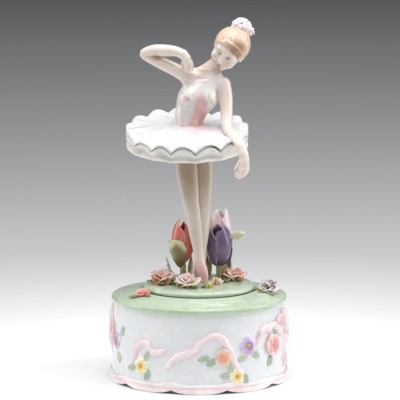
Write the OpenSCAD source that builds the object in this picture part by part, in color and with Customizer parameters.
// Musical porcelain figurine: a ballerina on a turntable that turns on a round drum.
// Millimetres, +Z up, -Y is the front. The origin is the centre of the drum's foot, on the table.
// A wind-up comb movement inside the drum turns the dancer and plays the tune.

/* [Drum] */
// Radius of the porcelain wall at the foot
foot_r = 52.8; // [52:0.1:54]
// Radius of the wall under the lawn cap
neck_r = 50.8; // [50:0.1:52]
// Height of the wall, from the table to the cap
wall_h = 47; // [47:0.5:52]
// Radius of the hollow that holds the movement
hollow_r = 47.2; // [47:0.1:47.6]
// Radius of the recess under the base plug
recess_r = 49.4; // [49:0.1:50]
// Height of the ledge that the base plug seats against
ledge_z = 17; // [17:0.5:17.5]
// Number of scallops round the foot
scallops = 10; // [6:2:14]
// Height of the arch between two scallops
arch_h = 2; // [1:0.1:3]

/* [Lawn and turntable] */
// Radius of the lawn cap's rim
cap_r = 52.2; // [52:0.1:54]
// Thickness of the cap's rim
rim_t = 3; // [2:0.1:4]
// Rise of the lawn from the rim to the turntable
lawn_rise = 3.6; // [2:0.1:5]
// Radius of the turntable disc
disc_r = 33.2; // [31:0.1:36]
// Thickness of the disc's edge
disc_t = 2.6; // [2:0.1:4]
// Running gap under the disc
disc_gap = 0.3; // [0.2:0.05:0.6]

/* [Dancer] */
// Radius of the tutu's top layer
tutu_r = 36.2; // [34:0.1:38]
// Number of ruffles round the tutu
ruffles = 15; // [11:1:19]
// Forward tilt of the tutu, in degrees
tutu_tilt = 8.6; // [0:0.1:12]

/* [Movement] */
// Radius of the spring barrel
barrel_r = 13.2; // [12:0.1:13.4]
// Teeth of the crown ring on the barrel
crown_teeth = 36; // [36]
// Teeth of the cylinder's pinion, which runs on the crown
crown_pinion_teeth = 12; // [12]
// Teeth of the cylinder's large wheel
great_teeth = 36; // [36]
// Teeth of the idler's pinion
idler_teeth = 10; // [10]
// Teeth of the idler's worm wheel
worm_wheel_teeth = 24; // [24]
// Number of comb tines and of pin tracks
tines = 18; // [12:1:22]
// Radius of the pinned cylinder
cylinder_r = 6.5; // [6:0.1:6.6]

/* [Hidden] */
$fn = 48;
hull_fn = 14;
slip = 0.02;

// Drum levels
cap_top_z = wall_h + rim_t + lawn_rise;
disc_z = cap_top_z + disc_gap;
disc_top_z = disc_z + disc_t;
crown_rise = 0.8;
stage_z = disc_top_z + crown_rise;
plug_t = 2.5;
plug_z = ledge_z - plug_t;
bed_t = 1.6;
bed_z = ledge_z + bed_t;
bush_r = 3.5;
hub_r = 6;
hub_t = 2;
hub_z = disc_z + 0.1;
spindle_r = 2;
running = 0.05;

// Foot band
band_h = 5.2;
band_out = 1.5;
arch_w = 14;
arch_r = (arch_w * arch_w / 4 + arch_h * arch_h) / (2 * arch_h);

// Spring barrel and crown
barrel_z = 20;
barrel_top_z = 29.2;
crown_z = 31;
crown_tooth_h = 1.4;
crown_module = 0.7;
crown_r = crown_module * crown_teeth / 2;
crown_w = 2.2;
pinion_r = crown_module * crown_pinion_teeth / 2;
cylinder_z = crown_z + 0.15 + pinion_r + 0.8 * crown_module;
arbor_r = 1.5;

// Pinned cylinder along +X
cylinder_x = 16.2;
cylinder_l = 16.8;
pin_h = 0.6;
cylinder_arbor_r = 0.9;
inner_bearing_x = 14.4;
great_x = 33.6;
great_w = 1.4;
outer_bearing_x = 35.8;
bearing_t = 1;

// Idler and governor
train_module = 0.5;
great_r = train_module * great_teeth / 2;
idler_r = train_module * idler_teeth / 2;
idler_drop = 5.5;
idler_y = sqrt(pow(great_r + idler_r, 2) - idler_drop * idler_drop);
idler_z = cylinder_z - idler_drop;
idler_arbor_r = 0.6;
mesh_angle = atan2(-idler_drop, idler_y);
worm_wheel_x = 38.4;
worm_wheel_w = 1.4;
worm_wheel_r = 6.2;
worm_pitch = 2 * PI * worm_wheel_r / worm_wheel_teeth;
worm_gap = 7.5;
worm_x = worm_wheel_x + worm_wheel_w / 2;
worm_y = idler_y - worm_gap;
worm_core_r = 1.25;
worm_throw = 0.4;
worm_low_z = 25;
worm_h = 11;
fan_z = 38.6;
fan_h = 4;
fan_r = 3.7;

// Comb
comb_z = cylinder_z - 0.3;
comb_t = 0.6;
tine_root_y = -19;
comb_back_y = -26;

// Dancer: points as [x, y, z, radius]
right_leg_points = [
  [-7.2, 0.3, 140, 7.2], [-7.2, 0, 127.6, 6.8], [-5.6, -0.4, 113, 5.9], [-4.8, -1, 105, 5.1],
  [-3.2, -0.8, 96, 4.9], [-1.2, -1.6, 85, 4.0], [-0.2, -2.4, 75, 3.3]
];
left_leg_points = [
  [0.2, 2.6, 140, 7.0], [1.4, 3.6, 127, 6.7], [2.1, 4, 112, 5.6], [2.3, 4.2, 104, 5.0],
  [2.2, 4.6, 97, 4.8], [1.8, 4.8, 86, 3.8], [1.5, 4.6, 75, 3.2]
];
right_slipper_points = [
  [-0.2, -2.4, 75, 3.5], [0.8, -3.2, 68, 3.6], [2.4, -4.4, 63, 3.4], [3.4, -5.2, stage_z + 2.6, 2.6]
];
left_slipper_points = [
  [1.5, 4.6, 75, 3.4], [0.4, 4.2, 68, 3.5], [-1.4, 3.4, 63, 3.2], [-2.6, 2.8, stage_z + 2.6, 2.6]
];
right_arm_points = [
  [-6.2, 0.4, 179.6, 4.2], [-13.5, 1.6, 184, 3.9], [-24, 2.6, 189, 3.5], [-32.4, 2, 193.6, 2.9],
  [-27, 0.4, 196.2, 3.2], [-20, -2.2, 197, 3.1], [-12.5, -4.8, 196.6, 2.5], [-8.2, -6.4, 194.6, 2.3],
  [-5.6, -7.2, 190, 2.4], [-5.4, -6.8, 186, 2.0], [-6.4, -5.8, 181.8, 1.2]
];
left_arm_points = [
  [14.8, 0.1, 175.3, 4.5], [15.9, -1.5, 168.4, 3.9], [16, -5, 160.4, 3.6], [16.5, -11.4, 151.4, 3.3],
  [20.6, -20.6, 147.4, 3.0], [24.7, -28.6, 142.6, 2.3], [26.1, -30.6, 137.4, 2.5],
  [26.2, -31.2, 132.4, 2.5], [25.2, -31.4, 128, 1.8], [24.1, -31.4, 125.2, 1.1]
];
left_thumb_points = [[24.9, -31.2, 135.8, 1.5], [21.5, -32, 132.3, 1]];
// Torso: [x, y, z, half width, half depth, half height]
torso_rings = [
  [-6.6, 0.6, 142, 11, 8.6, 5], [-5.8, 0.2, 153.4, 8.6, 6.8, 3], [-3.2, -0.4, 163, 10.8, 7.6, 3.4],
  [-0.8, -0.9, 170, 12.2, 8.2, 4], [4.4, 0, 177.6, 10.6, 5, 3.6]
];
neck_base = [5.6, 0.9, 180.4];
neck_top = [12.4, 0, 190];
neck_r_low = 4.2;
skull = [18.6, 0.6, 199.4];
skull_r = [10.2, 10.6, 11];
chin_r = 3.2;
head_tilt = 22.5;
hair_shift = [0.5, 1.3, 0.9];
hair_r = [11.4, 11.2, 11.4];
bun_balls = [
  [24.4, 5.2, 209.6, 5.4], [28.4, 5, 206.2, 3.4], [20.2, 4.6, 211, 2.4], [24.6, 0.6, 210.4, 2.8],
  [28, 9.2, 208.6, 2.8], [22.2, 9.4, 209.4, 3]
];

// Tutu
tutu_at = [-7, 0, 148.4];
tutu_in_r = 8;
tutu_steps = ruffles * 8;

// Flowers on the turntable: tulips as [x, y, base z, height, radius, lean x, lean y]
tulips = [
  ["red", [-10.2, 12, 66, 27.5, 7.1, 4, 5]],
  ["purple", [12.2, 11.6, 63.5, 27.5, 8.0, 4, -3]],
  ["pink", [13.6, 26.6, 72, 27.5, 6.6, 3, 8]]
];
stem_r = 1.6;

// ---------- shared shapes ----------

// Outer profile of the drum wall from the foot to the neck: a shallow waist
function wall_radius(z) = neck_r + (foot_r - neck_r) * pow(1 - min(1, z / wall_h), 2);
wall_levels = [0, 6, 12, 20, 30, wall_h];

module drum_outside() {
  rotate_extrude($fn = 96)
    polygon(concat([[0, 0]], [for (z = wall_levels) [wall_radius(z), z]], [[0, wall_h]]));
}

// Chain of spheres, each pair joined
module limb(points, first = 0) {
  for (i = [first : len(points) - 2])
    hull() {
      for (p = [points[i], points[i + 1]])
        translate([p[0], p[1], p[2]]) sphere(r = p[3], $fn = hull_fn);
    }
}

module ellipsoid(at, radii, fn = 20) {
  translate(at) scale(radii) sphere(r = 1, $fn = fn);
}

// Spur gear outline with straight-sided teeth and running backlash; one tooth points along +X
function gear_points(teeth, pitch_r, m, addendum = 0.85, dedendum = 1.15) =
  [for (i = [0 : teeth - 1], k = [0 : 3])
    let (a = 360 / teeth,
         share = [-0.25, -0.11, 0.11, 0.25][k],
         r = (k == 1 || k == 2) ? pitch_r + addendum * m : pitch_r - dedendum * m)
      [r * cos(a * (i + share)), r * sin(a * (i + share))]];

// A wheel whose axis is +X, with angles measured from +Y towards +Z
module wheel_on_x(x, y, z, width, turn, points, bore) {
  translate([x, y, z]) rotate([90, 0, 90]) rotate([0, 0, turn])
    linear_extrude(width) difference() {
      polygon(points);
      circle(r = bore, $fn = 32);
    }
}

module rod_on_x(x, y, z, length, r) {
  translate([x, y, z]) rotate([0, 90, 0]) cylinder(r = r, h = length);
}

// Places its children on the wall at an angle from the front and a height, facing outwards
module on_wall(angle, z) {
  rotate([0, 0, angle]) translate([0, -wall_radius(z), z]) rotate([90, 0, 0]) children();
}

// Disc-shaped petals standing round a centre
module petal_ring(count, ring_r, petal_r, lift, lean, t = 0.8, turn = 0) {
  for (i = [0 : count - 1])
    rotate([0, 0, turn + i * 360 / count]) translate([ring_r, 0, lift]) rotate([0, -lean, 0])
      cylinder(r = petal_r, h = t, $fn = 24);
}

// A hand-made rose seen from above, with its base at z = 0
module rose(size) {
  cylinder(r = size * 0.5, h = size * 0.55, $fn = 24);
  petal_ring(5, size * 0.62, size * 0.42, size * 0.2, 14);
  petal_ring(4, size * 0.34, size * 0.34, size * 0.48, 32, turn = 20);
  translate([0, 0, size * 0.62]) sphere(r = size * 0.26, $fn = 20);
}

// Leaf blade lying along +X
module leaf(length, width, t = 0.8) {
  linear_extrude(t) intersection() {
    translate([length / 2, width - length]) circle(r = length, $fn = 48);
    translate([length / 2, length - width]) circle(r = length, $fn = 48);
    translate([0, -width]) square([length, 2 * width]);
  }
}

// ---------- drum ----------

module drum_wall() {
  color("ghostwhite") difference() {
    drum_outside();
    translate([0, 0, ledge_z - slip]) cylinder(r = hollow_r, h = wall_h, $fn = 96);
    translate([0, 0, -1]) cylinder(r = recess_r, h = ledge_z + 1, $fn = 96);
    for (i = [0 : scallops / 2 - 1])
      rotate([0, 0, (i + 0.5) * 360 / scallops]) translate([0, 60, arch_h - arch_r])
        rotate([90, 0, 0]) cylinder(r = arch_r, h = 120, $fn = 96);
  }
}

// Scalloped moulding: fullest in the middle of each lobe, lifted between lobes
band_steps = scallops * 12;
function lobe(a) = abs(cos(a * scallops / 2));
band_profile = [[0, 0], [0.72, 0.02], [1, 0.35], [0.72, 0.8], [0, 1]];
module foot_band() {
  ring = len(band_profile);
  points = [for (i = [0 : band_steps - 1], p = band_profile)
    let (a = i * 360 / band_steps,
         low = arch_h * 1.1 * pow(1 - lobe(a), 1.5),
         z = low + p[1] * (band_h - low + 0.8 * (1 - lobe(a))),
         r = wall_radius(z) + 0.06 + p[0] * (0.5 + (band_out - 0.5) * sqrt(lobe(a))))
      [r * sin(a), -r * cos(a), z]];
  faces = [for (i = [0 : band_steps - 1], k = [0 : ring - 1])
    let (j = (i + 1) % band_steps, n = (k + 1) % ring)
      each [[i * ring + k, j * ring + k, j * ring + n], [i * ring + k, j * ring + n, i * ring + n]]];
  color("mistyrose") polyhedron(points, faces);
}

// Relief on the wall: places are [angle from the front, height], and the set is repeated on the back
relief_sides = 2;
relief_t = 0.9;
ribbon_w = 2.6;
ribbons = [
  [[-47, 19], [-45, 24.5], [-41, 28.4], [-36, 28], [-30, 24], [-24, 25]],
  [[-20, 17], [-14, 22], [-8, 24.2], [-2, 26], [4, 31.6], [10, 34], [16, 31.8], [20, 26], [24, 20], [27, 12]],
  [[44, 31], [49, 35.5], [55, 36.5], [62, 33], [72, 30]],
  [[82, 40], [87, 33], [84, 25], [89, 15]]
];
rose_places = [[15.8, 22.5, 4.4], [58, 24.3, 5.8], [68, 37, 4.2], [-84, 26, 4]];
pansy_places = [[34, 28, 4.6], [-71.5, 24.5, 4.4]];
daisy_places = [[-40.6, 13.8, 4.4], [25.2, 10.4, 4]];
leaf_places = [
  [3, 21, 200], [8, 18.6, 215], [-36, 21.5, 60], [-50, 12.5, 200], [-36, 9.4, 250],
  [20.5, 16, 120], [17.5, 10.5, 180], [31, 8.4, -60], [29.5, 20, 200], [40.5, 21, -40],
  [53.5, 15.4, 230], [-66, 15.6, -60], [-62, 32, 60], [62, 32.5, 120]
];

module wall_skin() {
  difference() {
    rotate_extrude($fn = 96)
      polygon(concat([for (z = wall_levels) [wall_radius(z) + relief_t, z]],
                     [for (i = [len(wall_levels) - 1 : -1 : 0])
                       [wall_radius(wall_levels[i]) + 0.05, wall_levels[i]]]));
    translate([0, 0, -1]) cylinder(r = 80, h = band_h + 3.2);
  }
}

module each_side() {
  for (i = [0 : relief_sides - 1]) rotate([0, 0, i * 360 / relief_sides]) children();
}

module ribbon_swags() {
  color("pink") intersection() {
    wall_skin();
    each_side() for (r = ribbons, i = [0 : len(r) - 2]) {
      a = (r[i][0] + r[i + 1][0]) / 2;
      run = neck_r * (r[i + 1][0] - r[i][0]) * PI / 180;
      rise = r[i + 1][1] - r[i][1];
      length = norm([run, rise]);
      rotate([0, 0, a]) translate([0, -40, (r[i][1] + r[i + 1][1]) / 2]) rotate([90, -atan2(rise, run), 0])
        translate([-length / 2, -ribbon_w / 2, 0]) cube([length + 0.6, ribbon_w, 20]);
    }
  }
}

module relief_roses() {
  color("lightpink") difference() {
    each_side()
      for (p = rose_places) on_wall(p[0], p[1]) cylinder(r1 = p[2], r2 = p[2] * 0.6, h = 1.8, $fn = 40);
    drum_outside();
  }
}

module relief_pansies() {
  color("plum") difference() {
    each_side()
      for (p = pansy_places) on_wall(p[0], p[1]) {
        cylinder(r = p[2] * 0.36, h = 1.5, $fn = 24);
        petal_ring(5, p[2] * 0.55, p[2] * 0.45, 0, 0, t = 0.9, turn = 90);
      }
    drum_outside();
  }
}

module relief_daisies() {
  color("lightyellow") difference() {
    each_side()
      for (p = daisy_places) on_wall(p[0], p[1]) {
        cylinder(r = p[2] * 0.3, h = 1.3, $fn = 24);
        petal_ring(5, p[2] * 0.55, p[2] * 0.45, 0, 0, t = 0.8, turn = 90);
      }
    drum_outside();
  }
}

module relief_leaves() {
  color("darkseagreen") each_side()
    for (p = leaf_places)
      on_wall(p[0], p[1]) rotate([0, 0, p[2]]) translate([-2.4, 0, 0.06]) leaf(4.8, 1.5, 0.7);
}

module lawn_solid() {
  ease = 1.1;
  rotate_extrude($fn = 120) polygon(concat(
    [[0, wall_h], [cap_r - ease, wall_h]],
    [for (a = [-60 : 30 : 60]) [cap_r - ease + ease * cos(a), wall_h + rim_t / 2 + rim_t / 2 * sin(a)]],
    [[cap_r - ease, wall_h + rim_t], [cap_r - 6, wall_h + rim_t + 0.9],
     [cap_r - 12, wall_h + rim_t + 2.4], [disc_r + 1.4, cap_top_z], [0, cap_top_z]]
  ));
}

module lawn_cap() {
  color("darkseagreen") difference() {
    lawn_solid();
    translate([0, 0, wall_h - 1]) cylinder(r = bush_r, h = rim_t + lawn_rise + 2);
    rotate_extrude($fn = 120)
      polygon([[8, wall_h - 1], [hollow_r, wall_h - 1], [hollow_r - 2, wall_h + 0.8],
               [disc_r, wall_h + rim_t], [8, wall_h + rim_t]]);
  }
}

module spindle_bush() {
  color("ivory") difference() {
    union() {
      translate([0, 0, wall_h - 1]) cylinder(r = bush_r, h = cap_top_z - wall_h + 1);
      translate([0, 0, wall_h - 2]) cylinder(r = bush_r + 2, h = 2);
    }
    translate([0, 0, wall_h - 3]) cylinder(r = spindle_r + running, h = 12);
  }
}

// Screws that hold the bedplate to the plug: [x, y]
bed_screws = [[-14, 0], [24, 18], [8, -24]];
module base_plug() {
  color("gainsboro") difference() {
    translate([0, 0, plug_z]) cylinder(r = recess_r - 0.05, h = plug_t, $fn = 96);
    translate([0, 0, plug_z - 1]) cylinder(r = 4, h = plug_t + 2);
    for (p = bed_screws) translate([p[0], p[1], plug_z - 1]) cylinder(r = 1.1, h = plug_t + 2);
    for (i = [0 : 7]) rotate([0, 0, i * 45 + 22.5]) translate([38, 0, plug_z - 1])
      cylinder(r = 1.8, h = plug_t + 2, $fn = 24);
  }
}

module movement_screws() {
  color("silver") for (p = bed_screws) translate([p[0], p[1], 0]) difference() {
    union() {
      translate([0, 0, plug_z - 1.2]) cylinder(r = 2, h = 1.2);
      translate([0, 0, plug_z]) cylinder(r = 1, h = plug_t + bed_t);
    }
    translate([-3, -0.2, plug_z - 1.4]) cube([6, 0.4, 0.7]);
  }
}

// ---------- movement, fixed parts ----------

module bedplate() {
  color("lightgrey") translate([0, 0, ledge_z]) linear_extrude(bed_t) difference() {
    intersection() {
      translate([-19, -29]) square([62.5, 52]);
      circle(r = 45.5, $fn = 96);
    }
    circle(r = arbor_r + running);
    for (p = bed_screws) translate([p[0], p[1]]) circle(r = 1);
  }
}

// Uprights for the cylinder and the idler, standing on the bedplate
module cylinder_bearings() {
  post_top = cylinder_z + 2.2;
  color("silver") difference() {
    union() {
      translate([inner_bearing_x, -3, bed_z]) cube([bearing_t, 6, post_top - bed_z]);
      translate([outer_bearing_x, -3, bed_z]) cube([bearing_t, 6, post_top - bed_z]);
      translate([outer_bearing_x, 2.9, bed_z]) cube([bearing_t, idler_y - 0.6, idler_z + 2 - bed_z]);
      translate([41, idler_y - 1.6, bed_z]) cube([bearing_t, 3.2, idler_z + 2 - bed_z]);
    }
    rod_on_x(inner_bearing_x - 1, 0, cylinder_z, 30, cylinder_arbor_r + running);
    rod_on_x(outer_bearing_x - 1, idler_y, idler_z, 10, idler_arbor_r + running);
  }
}

bridge_z = 41.4;
module barrel_bridge() {
  color("silver") difference() {
    union() {
      translate([-4, -17.4, bridge_z]) cube([8, 34.8, 1.5]);
      for (s = [-1, 1]) translate([-4, s * 16.6 - 0.8, bed_z]) cube([8, 1.6, bridge_z - bed_z + 0.5]);
    }
    translate([0, 0, bridge_z - 1]) cylinder(r = spindle_r + running, h = 4);
  }
}

comb_screw_x = [20, 24.6, 29.2];
module comb_block() {
  color("darkgray") difference() {
    translate([cylinder_x, comb_back_y, bed_z]) cube([cylinder_l, 5.4, comb_z - bed_z]);
    for (x = comb_screw_x) translate([x, comb_back_y + 2.8, comb_z - 6]) cylinder(r = 0.9, h = 8);
  }
}

module comb() {
  pitch = cylinder_l / tines;
  color("lightsteelblue") difference() {
    union() {
      translate([cylinder_x, comb_back_y, comb_z]) cube([cylinder_l, tine_root_y - comb_back_y, comb_t]);
      for (i = [0 : tines - 1])
        translate([cylinder_x + (i + 0.14) * pitch, tine_root_y - 0.1, comb_z])
          cube([pitch * 0.72, -cylinder_r - pin_h - 0.25 - tine_root_y + 0.1, comb_t]);
    }
    for (x = comb_screw_x) translate([x, comb_back_y + 2.8, comb_z - 1]) cylinder(r = 0.9, h = 3);
  }
}

module comb_screws() {
  color("silver") for (x = comb_screw_x) translate([x, comb_back_y + 2.8, 0]) {
    translate([0, 0, comb_z + comb_t]) cylinder(r = 1.7, h = 1);
    translate([0, 0, comb_z - 6]) cylinder(r = 0.9, h = 6 + comb_t + 0.1);
  }
}

module governor_frame() {
  top = 44.2;
  color("silver") difference() {
    union() {
      translate([worm_x - 1.7, worm_y - 8, bed_z]) cube([3.4, 10, 4.6]);
      translate([worm_x - 1.7, worm_y - 8, bed_z]) cube([3.4, 1.8, top + 1.2 - bed_z]);
      translate([worm_x - 1.7, worm_y - 8, top]) cube([3.4, 10, 1.2]);
    }
    translate([worm_x, worm_y, bed_z + 1]) cylinder(r = 0.45, h = 40, $fn = 24);
  }
}

// ---------- flowers on the fixed lawn ----------

function lawn_height(r) = cap_top_z - max(0, r - disc_r - 1.4) * (lawn_rise / (cap_r - disc_r - 1.4));
coral_at = [-33.4, -19.4, lawn_height(38.8) - 0.3];
white_at = [41, -4.6, lawn_height(41.2) - 0.3];
module on_lawn(at) { translate(at) children(); }

module lawn_coral_flower() {
  color("salmon") on_lawn(coral_at) translate([0, 0, 0.9]) rose(3.9);
}

module lawn_white_flower() {
  color("white") on_lawn(white_at) translate([0, 0, 0.9]) rose(5.2);
}

module lawn_flower_leaves() {
  color("olivedrab") difference() {
    union() {
      on_lawn(coral_at) {
        cylinder(r = 1.9, h = 0.9, $fn = 24);
        for (a = [120, 175]) rotate([0, 0, a]) leaf(6, 1.6);
      }
      on_lawn(white_at) {
        cylinder(r = 2.6, h = 0.9, $fn = 24);
        for (a = [150, 205, 270]) rotate([0, 0, a]) leaf(7, 1.8);
      }
    }
    lawn_solid();
  }
}

// ---------- turntable and drive ----------

module spring_barrel() {
  color("goldenrod") difference() {
    translate([0, 0, barrel_z]) cylinder(r = barrel_r, h = barrel_top_z - barrel_z);
    translate([0, 0, barrel_z + 1]) cylinder(r = barrel_r - 0.9, h = barrel_top_z);
    translate([0, 0, barrel_z - 1]) cylinder(r = arbor_r + running, h = 4);
  }
}

// Flat spring strip wound round the arbor
module mainspring() {
  turns = 6;
  steps = turns * 16;
  strip = 0.5;
  first_r = 3;
  last_r = barrel_r - 1.6;
  function coil_r(i) = first_r + (last_r - first_r) * i / steps;
  color("slategray") translate([0, 0, barrel_z + 1.3]) linear_extrude(6.4)
    polygon(concat(
      [for (i = [0 : steps]) coil_r(i) * [cos(i * 22.5), sin(i * 22.5)]],
      [for (i = [steps : -1 : 0]) (coil_r(i) + strip) * [cos(i * 22.5), sin(i * 22.5)]]
    ));
}

module barrel_lid() {
  color("gold") {
    difference() {
      union() {
        translate([0, 0, barrel_top_z]) cylinder(r = crown_r + crown_w / 2, h = 0.8);
        translate([0, 0, barrel_top_z]) cylinder(r = crown_r + crown_w / 2, h = crown_z - barrel_top_z);
      }
      translate([0, 0, barrel_top_z + 0.8]) cylinder(r = crown_r - crown_w / 2, h = 3);
      translate([0, 0, barrel_top_z - 1]) cylinder(r = spindle_r, h = 4);
    }
    // crown teeth, with a gap at angle zero
    pitch = PI * crown_module;
    for (i = [0 : crown_teeth - 1])
      rotate([0, 0, (i + 0.5) * 360 / crown_teeth])
        translate([crown_r - crown_w / 2, 0, crown_z]) rotate([90, 0, 90]) linear_extrude(crown_w - 0.1)
          polygon([[-pitch * 0.22, -0.2], [pitch * 0.22, -0.2], [pitch * 0.1, crown_tooth_h],
                   [-pitch * 0.1, crown_tooth_h]]);
  }
}

module drive_spindle() {
  color("silver") union() {
    translate([0, 0, barrel_top_z]) cylinder(r = spindle_r, h = hub_z + hub_t - barrel_top_z);
    translate([0, 0, barrel_top_z + 0.8]) cylinder(r = 4.6, h = 1.4);
  }
}

module spindle_hub() {
  color("ivory") difference() {
    translate([0, 0, hub_z]) cylinder(r = hub_r, h = hub_t);
    translate([0, 0, hub_z - 1]) cylinder(r = spindle_r, h = hub_t + 2);
  }
}

module disc_solid() {
  edge = 1.1;
  rotate_extrude($fn = 120) polygon(concat(
    [[hub_r, disc_z]], [[disc_r - 0.8, disc_z]],
    [for (a = [-60 : 30 : 60]) [disc_r - edge + edge * cos(a), disc_z + disc_t / 2 + disc_t / 2 * sin(a)]],
    [[disc_r - edge, disc_top_z], [disc_r * 0.7, disc_top_z + crown_rise * 0.55], [disc_r * 0.3, stage_z],
     [0, stage_z], [0, hub_z + hub_t], [hub_r, hub_z + hub_t]]
  ));
}

module turntable_disc() { color("darkseagreen") disc_solid(); }

// ---------- dancer ----------

module right_leg() {
  color("antiquewhite") difference() {
    limb(right_leg_points);
    limb(right_slipper_points);
    torso_form();
  }
}

module left_leg() {
  color("antiquewhite") difference() {
    limb(left_leg_points);
    limb(right_leg_points);
    limb(right_slipper_points);
    limb(left_slipper_points);
    torso_form();
  }
}

module right_slipper() {
  color("mistyrose") difference() {
    limb(right_slipper_points);
    translate([0, 0, stage_z - 10]) cube([60, 60, 20], center = true);
  }
}

module left_slipper() {
  color("mistyrose") difference() {
    limb(left_slipper_points);
    limb(right_slipper_points);
    limb(right_leg_points);
    translate([0, 0, stage_z - 10]) cube([60, 60, 20], center = true);
  }
}

module torso_form() {
  for (i = [0 : len(torso_rings) - 2]) hull()
    for (t = [torso_rings[i], torso_rings[i + 1]])
      ellipsoid([t[0], t[1], t[2]], [t[3], t[4], t[5]]);
  hull() {
    translate(neck_base) sphere(r = neck_r_low, $fn = hull_fn);
    translate([9.6, 0.2, 186]) sphere(r = 3.9, $fn = hull_fn);
  }
  limb([left_arm_points[0], [4.4, 0, 177.6, 5]]);
  limb([right_arm_points[0], [4.4, 0, 177.6, 4.6]]);
  limb([[-7.2, 0.3, 140, 7.4], [0.2, 2.6, 140, 7.2], [-3, 1, 141, 7.4]]);
}

module torso() { color("seashell") torso_form(); }

// Ruffled layer: rings of points round the waist, top side first and then the under side.
// Each ring is [share of the radius, height, ruffle height], and the edge waves in and out too.
module ruffled_layer(rings, outer_r, scale_in = 1.2, phase = 0) {
  count = len(rings);
  points = [for (i = [0 : tutu_steps - 1], g = rings)
    let (a = i * 360 / tutu_steps,
         wave = cos(a * ruffles + phase),
         r = tutu_in_r + (outer_r - tutu_in_r) * g[0] + scale_in * g[0] * g[0] * wave * 0.5)
      [r * cos(a), r * sin(a), g[1] + g[2] * wave]];
  faces = [for (i = [0 : tutu_steps - 1], k = [0 : count - 1])
    let (j = (i + 1) % tutu_steps, n = (k + 1) % count)
      each [[i * count + k, j * count + n, j * count + k], [i * count + k, i * count + n, j * count + n]]];
  polyhedron(points, faces);
}

module tutu_place() { translate(tutu_at) rotate([tutu_tilt, 0, 0]) children(); }

module tutu_top_layer() {
  color("white") difference() {
    tutu_place() ruffled_layer(
      [[0, 3.4, 0], [0.35, 2.6, 0], [0.7, 1.8, 0.5], [1, 0.6, 1.3],
       [0.98, -1, 1.3], [0.6, 0, 0.3], [0, 1.4, 0]], tutu_r);
    torso_form();
    limb(left_arm_points);
  }
}

module tutu_under_layer() {
  color("gainsboro") difference() {
    tutu_place() ruffled_layer(
      [[0, 1.1, 0], [0.64, -0.5, 0.3], [1, -1.9, 1.2], [0.96, -8.4, 0.8], [0.9, -8.9, 0.8], [0, -3.5, 0]],
      tutu_r - 2.2, 2);
    torso_form();
    limb(left_arm_points);
    limb(right_leg_points);
    limb(left_leg_points);
  }
}

module right_arm() {
  color("antiquewhite") difference() {
    limb(right_arm_points);
    torso_form();
  }
}

module left_arm() {
  color("antiquewhite") difference() {
    union() {
      limb(left_arm_points);
      limb(left_thumb_points);
    }
    torso_form();
  }
}

module head_form() {
  translate(skull) rotate([0, head_tilt, 0]) {
    hull() {
      ellipsoid([0, 0, 0], skull_r);
      ellipsoid([0, -3.4, -6], [7.2, 6, 5]);
    }
    hull() {
      ellipsoid([0, -3.4, -6], [7.2, 6, 5]);
      ellipsoid([0, -5, -11.4], [3, 3, chin_r]);
    }
    hull() {
      ellipsoid([0, -3.4, -6], [7.2, 6, 5]);
      ellipsoid([0, -9.6, -4.6], [1.2, 1.2, 1.4]);
    }
  }
  hull() {
    translate(neck_top) sphere(r = 3.9, $fn = hull_fn);
    translate([15, 1, 195]) sphere(r = 4.4, $fn = hull_fn);
  }
  hull() {
    translate([9.6, 0.2, 186]) sphere(r = 3.9, $fn = hull_fn);
    translate(neck_top) sphere(r = 3.9, $fn = hull_fn);
  }
}

module head() {
  color("antiquewhite") difference() {
    head_form();
    torso_form();
  }
}

module hair_form() {
  translate(skull) rotate([0, head_tilt, 0]) difference() {
    ellipsoid(hair_shift, hair_r, 28);
    translate([0, -12, -7]) rotate([-20, 0, 0]) cube([17, 20, 18], center = true);
    translate([0, 2, -15]) cube([30, 30, 14], center = true);
  }
}

module hair() {
  color("navajowhite") difference() {
    hair_form();
    head_form();
  }
}

module hair_flowers() {
  color("lavenderblush") difference() {
    for (b = bun_balls) translate([b[0], b[1], b[2]]) sphere(r = b[3], $fn = hull_fn);
    hair_form();
    head_form();
  }
}

// ---------- flowers on the turntable ----------

function tulip(i) = tulips[i][1];
module tulip_place(i) {
  t = tulip(i);
  translate([t[0], t[1], t[2]]) rotate([-t[5], t[6], 0]) children();
}

// Closed cup of petals: egg-shaped, with three petal tips on top
module bloom(i) {
  t = tulip(i);
  h = t[3];
  r = t[4];
  profile = [
    [0, 0], [0.42, 0.03], [0.78, 0.18], [0.97, 0.38], [1, 0.52], [0.86, 0.74], [0.6, 0.88], [0, 0.93]
  ];
  tulip_place(i) {
    rotate_extrude($fn = 48) polygon([for (p = profile) [p[0] * r, p[1] * h]]);
    for (a = [30 : 120 : 270]) rotate([0, 0, a]) translate([r * 0.34, 0, h * 0.78])
      cylinder(r1 = r * 0.36, r2 = 0.3, h = h * 0.22, $fn = 24);
  }
}

module red_tulip() { color("indianred") bloom(0); }
module purple_tulip() { color("slateblue") bloom(1); }
module pink_tulip() { color("pink") bloom(2); }

// Stems from the disc to the blooms, and upright blades: [x, y, lean to the right, length, half width]
blades = [
  [22, 18, 10, 25, 3.2], [5.6, 20.4, 5, 33, 2.6], [-17, 16.5, -12, 18, 2.6], [-5.6, 14.6, 3, 14, 2.2]
];
module tulip_leaves() {
  color("darkkhaki") difference() {
    union() {
      for (i = [0 : 2]) {
        t = tulip(i);
        tulip_place(i) translate([0, 0, -1.2]) cylinder(r = stem_r, h = 1.2);
        translate([t[0], t[1], stage_z - 0.75]) cylinder(r = stem_r * 1.3, h = t[2] - stage_z + 0.55);
      }
      for (b = blades) translate([b[0], b[1], stage_z - 0.75]) rotate([0, b[2] - 90, 0]) rotate([90, 0, 0])
        leaf(b[3], b[4], 1);
    }
    disc_solid();
    for (i = [0 : 2]) bloom(i);
    limb(left_slipper_points);
  }
}

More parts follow.
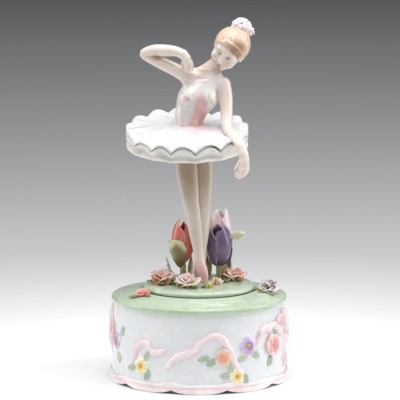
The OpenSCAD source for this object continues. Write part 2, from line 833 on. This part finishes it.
peach_at = [-21.6, -3.6];
pink_at = [-3.6, -14];
coral_rose_at = [20.6, 9.4];
rose_lift = 1;
function stage_height(x, y) = let (r = norm([x, y])) disc_top_z + crown_rise * (1 - r / disc_r);
module on_stage(at, lift = 0) { translate([at[0], at[1], stage_height(at[0], at[1]) + lift]) children(); }

module peach_rose() { color("salmon") on_stage(peach_at, rose_lift) rose(6.6); }
module pink_rose() { color("pink") on_stage(pink_at, rose_lift) rose(6.8); }
module coral_rose() { color("lightcoral") on_stage(coral_rose_at, rose_lift) rose(6.2); }

// Small buds between the roses: [x, y, size]
blossoms = [[-11.6, -2.6, 2.7], [4.6, -17, 2.2], [8.8, -11, 3.2], [11.4, -3.6, 2.8], [-24.2, 6.4, 2.6]];
module small_blossoms() {
  color("thistle") for (b = blossoms) on_stage(b, 0.08) {
    cylinder(r1 = b[2] * 0.45, r2 = b[2] * 0.95, h = b[2] * 0.6, $fn = 24);
    translate([0, 0, b[2] * 0.6]) sphere(r = b[2] * 0.4, $fn = 24);
  }
}

module rose_leaves() {
  color("olivedrab") difference() {
    for (at = [peach_at, pink_at, coral_rose_at]) on_stage(at, -0.1) {
      cylinder(r = 3, h = rose_lift + 0.1, $fn = 24);
      for (a = [205, 275, 340]) rotate([0, 0, a]) translate([2.4, 0, 0]) leaf(6.4, 1.9);
    }
    disc_solid();
  }
}

// ---------- movement, turning parts ----------

module winding_arbor() {
  color("silver") union() {
    translate([0, 0, 5]) cylinder(r = arbor_r, h = 23.4);
    translate([0, 0, barrel_z + 1.2]) cylinder(r = 2.4, h = 6.4);
  }
}

// Butterfly key: a hub and two pierced wings
module winding_key() {
  wing_z = 7.2;
  color("silver") difference() {
    union() {
      translate([0, 0, 3.4]) cylinder(r = 3.2, h = plug_z - 0.7 - 3.4);
      for (s = [-1, 1]) hull() {
        translate([s * 8, 1, wing_z]) rotate([90, 0, 0]) cylinder(r = 4.2, h = 2, $fn = 40);
        translate([s * 2.2, 1, wing_z - 2.4]) rotate([90, 0, 0]) cylinder(r = 1.4, h = 2, $fn = 24);
        translate([s * 2.2, 1, wing_z + 2.4]) rotate([90, 0, 0]) cylinder(r = 1.4, h = 2, $fn = 24);
      }
    }
    translate([0, 0, 5]) cylinder(r = arbor_r, h = 20);
    for (s = [-1, 1]) translate([s * 8.2, 2, wing_z]) rotate([90, 0, 0]) cylinder(r = 2, h = 4, $fn = 32);
  }
}

module pinned_cylinder() {
  color("goldenrod") difference() {
    rod_on_x(cylinder_x, 0, cylinder_z, cylinder_l, cylinder_r);
    rod_on_x(cylinder_x - 1, 0, cylinder_z, cylinder_l + 2, cylinder_arbor_r);
  }
}

// Tune pins: tracks across the cylinder, spread round it in a steady spiral
module cylinder_pins() {
  pitch = cylinder_l / tines;
  golden = 137.5;
  pins = 3 * tines;
  color("silver") for (i = [0 : pins - 1])
    translate([cylinder_x + (i % tines + 0.5) * pitch, 0, cylinder_z]) rotate([i * golden, 0, 0])
      translate([0, 0, cylinder_r - 0.02]) cylinder(r = 0.24, h = pin_h, $fn = 16);
}

module crown_pinion() {
  color("gold") {
    wheel_on_x(crown_r - crown_w / 2 + 0.1, 0, cylinder_z, crown_w - 0.2, -90,
      gear_points(crown_pinion_teeth, pinion_r, crown_module, 0.8, 1.1), cylinder_arbor_r);
    rod_on_x(crown_r - crown_w / 2 - 0.6, 0, cylinder_z, great_x + great_w + 3.4 - crown_r, cylinder_arbor_r);
  }
}

module great_wheel() {
  color("gold")
    wheel_on_x(great_x, 0, cylinder_z, great_w, mesh_angle,
      gear_points(great_teeth, great_r, train_module), cylinder_arbor_r);
}

module idler_pinion() {
  color("silver") union() {
    wheel_on_x(great_x - 0.1, idler_y, idler_z, great_w + 0.3, mesh_angle + 180 + 180 / idler_teeth,
      gear_points(idler_teeth, idler_r, train_module), idler_arbor_r * 0.5);
    rod_on_x(great_x - 0.4, idler_y, idler_z, 41.8 - great_x, idler_arbor_r);
  }
}

module worm_wheel() {
  tip_r = worm_gap - (worm_core_r - worm_throw) - 0.2;
  color("ivory")
    wheel_on_x(worm_wheel_x, idler_y, idler_z, worm_wheel_w, 180 + 180 / worm_wheel_teeth,
      gear_points(worm_wheel_teeth, worm_wheel_r, 1, tip_r - worm_wheel_r, 0.75), idler_arbor_r);
}

// Single-start worm: an off-centre circle, twisted as it rises.
// Its crest faces the wheel at the wheel's axis.
worm_pivot_r = 0.4;
worm_pivot_top_z = 45.2;
module governor_worm() {
  turn_per_mm = 360 / worm_pitch;
  sides = 9;
  color("silver") {
    translate([worm_x, worm_y, worm_low_z]) rotate([0, 0, 90 + turn_per_mm * (idler_z - worm_low_z)])
      linear_extrude(worm_h, twist = turn_per_mm * worm_h, slices = round(worm_h / worm_pitch * sides))
        translate([worm_throw, 0]) circle(r = worm_core_r, $fn = sides);
    translate([worm_x, worm_y, bed_z + 1.1])
      cylinder(r = worm_pivot_r, h = worm_low_z - bed_z - 1, $fn = 24);
    translate([worm_x, worm_y, worm_low_z + worm_h - 0.1])
      cylinder(r = worm_pivot_r, h = worm_pivot_top_z - worm_low_z - worm_h, $fn = 24);
  }
}

module governor_fan() {
  color("gold") translate([worm_x, worm_y, fan_z]) difference() {
    union() {
      cylinder(r = 1.1, h = fan_h);
      translate([-fan_r, -0.2, 0]) cube([2 * fan_r, 0.4, fan_h]);
    }
    translate([0, 0, -1]) cylinder(r = 0.4, h = fan_h + 2, $fn = 24);
  }
}

// ---------- assembly ----------

drum_wall();
foot_band();
ribbon_swags();
relief_roses();
relief_pansies();
relief_daisies();
relief_leaves();
lawn_cap();
spindle_bush();
base_plug();
movement_screws();
bedplate();
cylinder_bearings();
barrel_bridge();
comb_block();
comb();
comb_screws();
governor_frame();
lawn_coral_flower();
lawn_white_flower();
lawn_flower_leaves();
spring_barrel();
mainspring();
barrel_lid();
drive_spindle();
spindle_hub();
turntable_disc();
right_leg();
left_leg();
right_slipper();
left_slipper();
torso();
tutu_top_layer();
tutu_under_layer();
right_arm();
left_arm();
head();
hair();
hair_flowers();
red_tulip();
purple_tulip();
pink_tulip();
tulip_leaves();
peach_rose();
pink_rose();
coral_rose();
small_blossoms();
rose_leaves();
winding_arbor();
winding_key();
pinned_cylinder();
cylinder_pins();
crown_pinion();
great_wheel();
idler_pinion();
worm_wheel();
governor_worm();
governor_fan();
